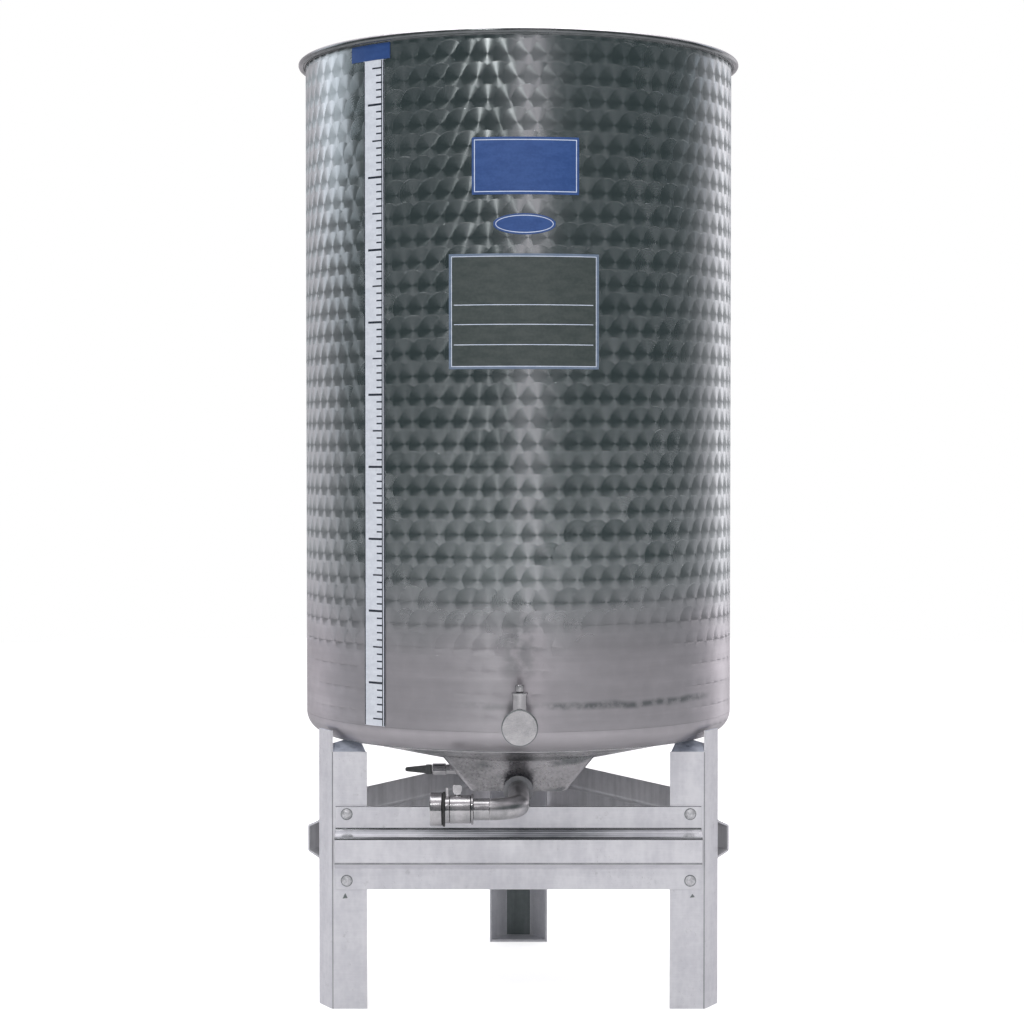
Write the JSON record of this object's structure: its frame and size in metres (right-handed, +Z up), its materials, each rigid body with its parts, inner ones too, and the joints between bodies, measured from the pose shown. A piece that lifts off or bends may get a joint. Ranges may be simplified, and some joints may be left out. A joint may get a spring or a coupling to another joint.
{
  "type": "vertical storage tank",
  "caption": "Open-topped round stainless tank with a funnel bottom, a tap low on its front and a piped drain valve, on a folded sheet stand with legs and ribbed bars.",
  "frame": {"origin": "floor level, at the centre of the whole object's footprint, with the tank's axis 20 mm behind it", "axes": "+Z up, -Y towards the front with the tap, +X to the right seen from the front"},
  "size_m": [0.651, 0.6933, 1.366],
  "materials": {
    "stainless": "circle-brushed stainless sheet",
    "stainless_trim": "satin stainless sheet",
    "polished_fitting": "turned and polished stainless",
    "zinc_sheet": "pale satin folded sheet",
    "white_film": "satin film",
    "blue_film": "satin film",
    "dark_plate": "printed film",
    "gasket": "matte",
    "lever": "dark satin"
  },
  "bodies": {
    "tank": {"shell_01": "stainless", "shell_02": "stainless", "shell_03": "stainless", "shell_04": "stainless", "shell_05": "stainless", "shell_06": "stainless", "shell_07": "stainless", "shell_08": "stainless", "shell_09": "stainless", "shell_10": "stainless", "shell_11": "stainless", "shell_12": "stainless", "rim": "stainless_trim", "bottom_knuckle": "stainless_trim", "bottom_dish": "stainless_trim", "funnel": "stainless_trim", "funnel_base": "stainless_trim", "ruler_strip": "white_film", "ruler_header": "blue_film", "label_rectangle": "blue_film", "label_oval": "blue_film", "data_plate": "dark_plate", "tap_boss": "polished_fitting", "tap_body": "polished_fitting", "tap_disc": "polished_fitting", "tap_neck": "polished_fitting", "drain_collar": "polished_fitting", "drain_elbow": "polished_fitting", "drain_pipe": "polished_fitting", "drain_flange_ring": "polished_fitting", "drain_valve_body": "polished_fitting", "drain_thin_ring": "polished_fitting", "drain_gasket": "gasket", "drain_end_cap": "polished_fitting", "rear_valve_stub": "polished_fitting", "rear_valve_body": "polished_fitting", "leg_front_left": "zinc_sheet", "leg_front_right": "zinc_sheet", "leg_back": "zinc_sheet", "foot_plate_front_left": "zinc_sheet", "foot_plate_front_right": "zinc_sheet", "foot_plate_back": "zinc_sheet", "bar_front": "zinc_sheet", "bar_left": "zinc_sheet", "bar_right": "zinc_sheet"},
    "tap_tip": {"tap_tip": "polished_fitting"},
    "drain_key": {"drain_key": "polished_fitting"},
    "rear_lever": {"rear_lever": "lever"}
  },
  "joints": [
    {"name": "tap_tip_turn", "type": "hinge", "parent": "tank", "child": "tap_tip", "pos_m": [0.0017, -0.3305, 0.4703], "axis": [0, 0, 1], "range_deg": [0, 90]},
    {"name": "drain_key_turn", "type": "hinge", "parent": "tank", "child": "drain_key", "pos_m": [-0.0835, -0.2875, 0.3253], "axis": [0, 0, 1], "range_deg": [0, 90]},
    {"name": "rear_lever_turn", "type": "hinge", "parent": "tank", "child": "rear_lever", "pos_m": [-0.1363, 0.08, 0.31], "axis": [0, 0, 1], "range_deg": [0, 90]}
  ]
}
